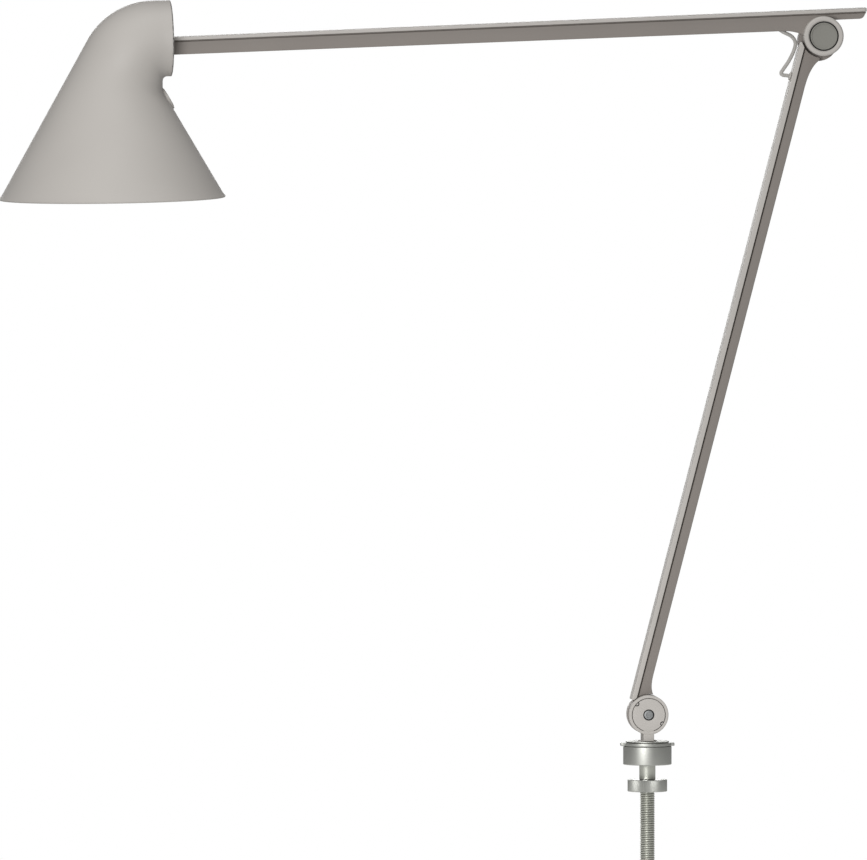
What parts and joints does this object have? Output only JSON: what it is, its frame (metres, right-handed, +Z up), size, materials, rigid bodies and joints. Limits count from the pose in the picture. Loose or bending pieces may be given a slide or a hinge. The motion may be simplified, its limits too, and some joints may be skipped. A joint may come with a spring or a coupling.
{
  "type": "desk lamp",
  "caption": "Two-part arm desk lamp with a conical shade on a bent neck, friction hinges and a clamp through the desk top.",
  "frame": {"origin": "on the swivel axis, at the plane where the base socket rests on the desk's top face", "axes": "+Z up along the swivel axis, +X from the shade towards the elbow at rest, Y along the arm hinges"},
  "size_m": [0.5706, 0.1484, 0.5943],
  "materials": {
    "painted_light": "matte",
    "painted_dark": "matte",
    "brushed_steel": "satin",
    "polished_steel": "polished",
    "thread_steel": "satin",
    "spring_steel": "satin",
    "bronze": "satin",
    "cap_plastic": "matte",
    "rubber": "matte",
    "lead_sleeve": "matte",
    "white_aluminium": "matte",
    "opal_plastic": "satin",
    "cast_aluminium": "satin",
    "circuit_board": "satin",
    "switch_plastic": "satin"
  },
  "bodies": {
    "base": {"base_socket": "brushed_steel", "lug_ring": "brushed_steel", "swivel_bush": "bronze", "desk_pad": "rubber", "threaded_rod": "thread_steel", "lead_bush": "rubber"},
    "clamp_ring": {"thrust_ring": "polished_steel"},
    "nut": {"clamp_nut": "brushed_steel"},
    "swivel": {"base_knuckle": "painted_light", "base_axle": "polished_steel", "base_cover": "painted_light", "base_cover_screw": "spring_steel", "base_washer_front": "bronze", "base_washer_rear": "bronze", "base_spring": "spring_steel", "base_nut": "spring_steel", "swivel_cap": "brushed_steel", "spigot_clip": "spring_steel"},
    "lower_arm": {"lower_arm_beam": "painted_dark", "lower_arm_cover": "painted_light", "lower_arm_lead": "lead_sleeve", "lead_grommet": "painted_light", "elbow_axle": "polished_steel", "elbow_nut": "spring_steel", "elbow_spring": "spring_steel", "elbow_washer": "bronze", "elbow_rear_cap": "cap_plastic"},
    "upper_arm": {"upper_arm_beam": "painted_dark", "upper_arm_cover": "painted_light", "upper_arm_lead": "lead_sleeve", "elbow_lead": "lead_sleeve", "elbow_cap": "cap_plastic"},
    "head_hinge": {"head_fork": "polished_steel", "fork_washer": "bronze", "tilt_pin": "polished_steel", "tilt_nut": "polished_steel"},
    "head": {"shade": "painted_light", "head_carrier": "cast_aluminium", "heat_sink": "cast_aluminium", "led_board": "circuit_board", "diffuser": "opal_plastic", "diffuser_ring": "white_aluminium", "reflector": "white_aluminium", "carrier_screw_1": "spring_steel", "carrier_screw_2": "spring_steel", "carrier_screw_3": "spring_steel", "tilt_washer_front": "bronze", "tilt_washer_rear": "bronze", "switch_bezel": "painted_light", "switch_body": "switch_plastic"},
    "button": {"switch_button": "painted_light"}
  },
  "joints": [
    {"name": "base_swivel", "type": "hinge", "parent": "base", "child": "swivel", "pos_m": [0, 0, 0.012], "axis": [0, 0, 1], "range_deg": [-175, 175]},
    {"name": "lower_tilt", "type": "hinge", "parent": "swivel", "child": "lower_arm", "pos_m": [0, 0, 0.033], "axis": [0, 1, 0], "range_deg": [-70, 50]},
    {"name": "elbow", "type": "hinge", "parent": "lower_arm", "child": "upper_arm", "pos_m": [0.11517, 0, 0.47835], "axis": [0, 1, 0], "range_deg": [-18, 90], "deforming": ["elbow_lead"]},
    {"name": "head_roll", "type": "hinge", "parent": "upper_arm", "child": "head_hinge", "pos_m": [-0.32951, 0, 0.47202], "axis": [0.9993, 0, 0.0384], "range_deg": [-90, 90]},
    {"name": "head_tilt", "type": "hinge", "parent": "head_hinge", "child": "head", "pos_m": [-0.32951, 0, 0.47202], "axis": [0, 1, 0], "range_deg": [-22, 40]},
    {"name": "switch_press", "type": "slide", "parent": "head", "child": "button", "axis": [-0.8603, 0, -0.5098], "range_m": [0, 0.0012], "stiffness_N_per_m": 900, "springref_m": -0.0006},
    {"name": "nut_travel", "type": "slide", "parent": "base", "child": "clamp_ring", "axis": [0, 0, -1], "range_m": [0, 0.06]},
    {"name": "nut_turn", "type": "hinge", "parent": "clamp_ring", "child": "nut", "pos_m": [0, 0, -0.0138], "axis": [0, 0, -1], "range_deg": [0, 14400]}
  ],
  "couplings": [
    {"joint": "nut_travel", "follows": "nut_turn", "m_per_rad": 0.00023873}
  ]
}
